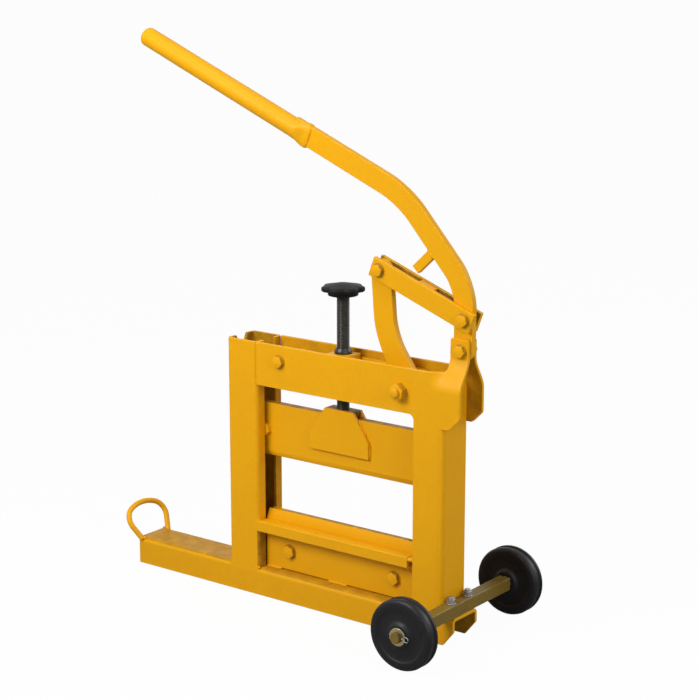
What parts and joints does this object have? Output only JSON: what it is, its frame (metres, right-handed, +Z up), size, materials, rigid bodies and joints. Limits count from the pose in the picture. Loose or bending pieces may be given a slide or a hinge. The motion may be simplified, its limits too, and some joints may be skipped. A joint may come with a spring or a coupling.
{
  "type": "masonry block splitter",
  "caption": "Hand-operated masonry block splitter with a folded steel frame, fixed lower blade, screw-set guided upper blade, lever and link press, carrying loop and transport wheels.",
  "frame": {"origin": "middle of the bounding box at the level of the ground", "axes": "+X along the base towards the wheels, +Y to the back, +Z up; the front with the rocker nut faces -Y"},
  "size_m": [0.7875, 0.3676, 0.9878],
  "materials": {
    "yellow_paint": "semi-gloss yellow paint on welded steel",
    "axle_paint": "olive yellow paint",
    "zinc_steel": "zinc plated",
    "black_steel": "black oxide, oiled",
    "black_plastic": "fine grained",
    "wheel_plastic": "moulded, satin",
    "bush_brass": "turned"
  },
  "bodies": {
    "frame": {"left_upright": "yellow_paint", "front_frame_plate": "yellow_paint", "rear_frame_plate": "yellow_paint", "column_web": "yellow_paint", "column_guides": "yellow_paint", "base_channel": "yellow_paint", "carry_loop": "yellow_paint", "lower_blade": "yellow_paint", "front_clamp_panel": "yellow_paint", "rear_clamp_panel": "yellow_paint", "front_ledge": "yellow_paint", "rear_ledge": "yellow_paint", "clamp_bolts": "yellow_paint", "axle": "axle_paint", "axle_studs": "zinc_steel", "wheel_washers": "zinc_steel", "cotter_pins": "zinc_steel", "ear_bolt": "yellow_paint", "rocker_bolt": "yellow_paint", "tie_bolt": "yellow_paint", "tie_spacer": "yellow_paint", "return_spring": "zinc_steel", "spring_anchor": "zinc_steel"},
    "lever": {"lever_bar": "yellow_paint", "handle_tube": "yellow_paint", "lever_stop": "yellow_paint"},
    "links": {"front_link": "yellow_paint", "rear_link": "yellow_paint", "link_spacer": "yellow_paint", "lever_link_bolt": "yellow_paint", "rocker_link_bolt": "yellow_paint"},
    "rocker": {"rocker_arm": "yellow_paint", "rocker_hub": "yellow_paint", "front_cheek": "yellow_paint", "rear_cheek": "yellow_paint"},
    "press_nut": {"trunnion_nut": "yellow_paint", "nut_collar": "black_steel"},
    "carriage": {"upper_blade": "yellow_paint", "front_saddle": "yellow_paint", "rear_saddle": "yellow_paint", "saddle_block": "yellow_paint", "keeper_pin": "zinc_steel", "guide_bolts": "yellow_paint"},
    "screw": {"adjusting_screw": "black_steel", "star_knob": "black_plastic"},
    "wheel_front": {"front_wheel": "wheel_plastic", "front_wheel_bush": "bush_brass"},
    "wheel_rear": {"rear_wheel": "wheel_plastic", "rear_wheel_bush": "bush_brass"}
  },
  "joints": [
    {"name": "lever_swing", "type": "hinge", "parent": "frame", "child": "lever", "pos_m": [0.33625, 0, 0.497], "axis": [0, -1, 0], "range_deg": [0, 21.5], "stiffness_Nm_per_rad": 20, "springref_deg": -85.94},
    {"name": "link_swing", "type": "hinge", "parent": "lever", "child": "links", "pos_m": [0.34196, 0, 0.54869], "axis": [0, -1, 0], "range_deg": [-19.2, 0]},
    {"name": "rocker_swing", "type": "hinge", "parent": "frame", "child": "rocker", "pos_m": [0.23475, 0, 0.421], "axis": [0, -1, 0], "range_deg": [0, 6.8], "deforming": ["return_spring"]},
    {"name": "nut_press", "type": "slide", "parent": "frame", "child": "press_nut", "axis": [0, 0, -1], "range_m": [0, 0.0172]},
    {"name": "blade_feed", "type": "slide", "parent": "press_nut", "child": "carriage", "axis": [0, 0, 1], "range_m": [-0.0655, 0.0105]},
    {"name": "screw_turn", "type": "hinge", "parent": "carriage", "child": "screw", "pos_m": [0.09075, 0, 0.45], "axis": [0, 0, 1], "range_deg": [-4680, 720]},
    {"name": "wheel_front_spin", "type": "hinge", "parent": "frame", "child": "wheel_front", "pos_m": [0.33275, -0.157, 0.061], "axis": [0, 1, 0], "continuous": true},
    {"name": "wheel_rear_spin", "type": "hinge", "parent": "frame", "child": "wheel_rear", "pos_m": [0.33275, 0.157, 0.061], "axis": [0, 1, 0], "continuous": true}
  ],
  "couplings": [
    {"joint": "link_swing", "follows": "lever_swing", "ratio": -0.885},
    {"joint": "rocker_swing", "follows": "lever_swing", "ratio": 0.312},
    {"joint": "nut_press", "follows": "lever_swing", "m_per_rad": 0.04505},
    {"joint": "blade_feed", "follows": "screw_turn", "m_per_rad": 0.00079577}
  ]
}
